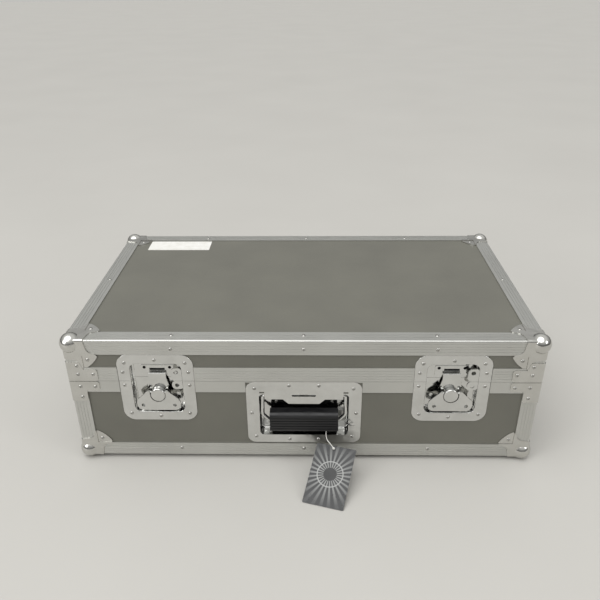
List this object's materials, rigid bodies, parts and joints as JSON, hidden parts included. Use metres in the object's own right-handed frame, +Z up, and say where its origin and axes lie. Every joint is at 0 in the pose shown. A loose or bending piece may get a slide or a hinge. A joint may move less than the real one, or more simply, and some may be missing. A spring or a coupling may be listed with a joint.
{
  "type": "guitar pedal case",
  "caption": "Flat laminate flight case in aluminium rails with ball corners, recessed turn latches, a recessed sprung handle, a hinged lid, foam lining and a tag.",
  "frame": {"origin": "on the floor, under the middle of the case", "axes": "+X along the width, to the right of someone who faces the front, +Y to the back, +Z up"},
  "size_m": [0.672, 0.4918, 0.212],
  "materials": {
    "laminate": "fine-textured dark grey laminate",
    "rail_aluminium": "satin anodised, extruded",
    "hardware_chrome": "bright plated pressed steel",
    "spring_steel": "bare spring wire",
    "foam_grey": "soft open-cell foam",
    "grip_rubber": "moulded, ribbed, matt black",
    "label_white": "satin white",
    "tag_paper": "printed coated card",
    "string_fibre": "thin white looped string"
  },
  "bodies": {
    "base": {"base_bottom_panel": "laminate", "base_front_panel": "laminate", "base_back_panel": "laminate", "base_left_panel": "laminate", "base_right_panel": "laminate", "base_bottom_rails_long": "rail_aluminium", "base_bottom_rails_short": "rail_aluminium", "base_corner_rails": "rail_aluminium", "base_closure_rail_front": "rail_aluminium", "base_closure_rail_back": "rail_aluminium", "base_closure_rails_side": "rail_aluminium", "base_ball_corners": "hardware_chrome", "base_corner_braces": "hardware_chrome", "base_rivets": "hardware_chrome", "base_foam_pad": "foam_grey", "base_foam_walls": "foam_grey", "left_latch_dish_lower": "hardware_chrome", "right_latch_dish_lower": "hardware_chrome", "latch_base_padlock_lugs": "hardware_chrome", "handle_dish": "hardware_chrome", "handle_pivot_bracket": "hardware_chrome", "handle_spring": "spring_steel", "left_hinge_base_leaf": "hardware_chrome", "right_hinge_base_leaf": "hardware_chrome", "hinge_pins": "hardware_chrome"},
    "lid": {"lid_top_panel": "laminate", "lid_front_panel": "laminate", "lid_back_panel": "laminate", "lid_left_panel": "laminate", "lid_right_panel": "laminate", "lid_top_rails_long": "rail_aluminium", "lid_top_rails_short": "rail_aluminium", "lid_corner_rails": "rail_aluminium", "lid_closure_rail_front": "rail_aluminium", "lid_closure_rail_back": "rail_aluminium", "lid_closure_rails_side": "rail_aluminium", "lid_ball_corners": "hardware_chrome", "lid_corner_braces": "hardware_chrome", "lid_rivets": "hardware_chrome", "lid_foam_pad": "foam_grey", "lid_foam_walls": "foam_grey", "left_latch_dish_upper": "hardware_chrome", "right_latch_dish_upper": "hardware_chrome", "left_latch_keeper": "hardware_chrome", "right_latch_keeper": "hardware_chrome", "latch_lid_padlock_lugs": "hardware_chrome", "label_plate": "label_white", "left_hinge_lid_leaf": "hardware_chrome", "right_hinge_lid_leaf": "hardware_chrome"},
    "handle": {"handle_bail": "hardware_chrome", "handle_grip": "grip_rubber"},
    "tag": {"hang_tag": "tag_paper", "hang_tag_string": "string_fibre"},
    "left_barrel": {"left_latch_barrel": "hardware_chrome"},
    "left_wing": {"left_latch_wing": "hardware_chrome"},
    "left_hook": {"left_latch_hook": "hardware_chrome"},
    "right_barrel": {"right_latch_barrel": "hardware_chrome"},
    "right_wing": {"right_latch_wing": "hardware_chrome"},
    "right_hook": {"right_latch_hook": "hardware_chrome"}
  },
  "joints": [
    {"name": "lid_hinge", "type": "hinge", "parent": "base", "child": "lid", "pos_m": [0, 0.1942, 0.1394], "axis": [-1, 0, 0], "range_deg": [0, 105]},
    {"name": "left_latch_turn", "type": "hinge", "parent": "base", "child": "left_barrel", "pos_m": [-0.2066, -0.189, 0.117], "axis": [0, -1, 0], "range_deg": [0, 180]},
    {"name": "left_wing_fold", "type": "hinge", "parent": "left_barrel", "child": "left_wing", "pos_m": [-0.2066, -0.1882, 0.12], "axis": [-1, 0, 0], "range_deg": [0, 90]},
    {"name": "left_hook_slide", "type": "slide", "parent": "base", "child": "left_hook", "axis": [0, 0, 1], "range_m": [0, 0.006]},
    {"name": "right_latch_turn", "type": "hinge", "parent": "base", "child": "right_barrel", "pos_m": [0.2066, -0.189, 0.117], "axis": [0, -1, 0], "range_deg": [0, 180]},
    {"name": "right_wing_fold", "type": "hinge", "parent": "right_barrel", "child": "right_wing", "pos_m": [0.2066, -0.1882, 0.12], "axis": [-1, 0, 0], "range_deg": [0, 90]},
    {"name": "right_hook_slide", "type": "slide", "parent": "base", "child": "right_hook", "axis": [0, 0, 1], "range_m": [0, 0.006]},
    {"name": "handle_swing", "type": "hinge", "parent": "base", "child": "handle", "pos_m": [0, -0.183, 0.1125], "axis": [-1, 0, 0], "range_deg": [0, 90], "stiffness_Nm_per_rad": 0.06, "springref_deg": -45.84},
    {"name": "tag_swing", "type": "hinge", "parent": "handle", "child": "tag", "pos_m": [0.032, -0.194, 0.0557], "axis": [-1, 0, 0], "range_deg": [-90, 0]}
  ],
  "couplings": [
    {"joint": "left_latch_turn", "follows": "left_hook_slide", "rad_per_m": 523.6},
    {"joint": "right_latch_turn", "follows": "right_hook_slide", "rad_per_m": 523.6},
    {"joint": "tag_swing", "follows": "handle_swing", "ratio": -1}
  ]
}
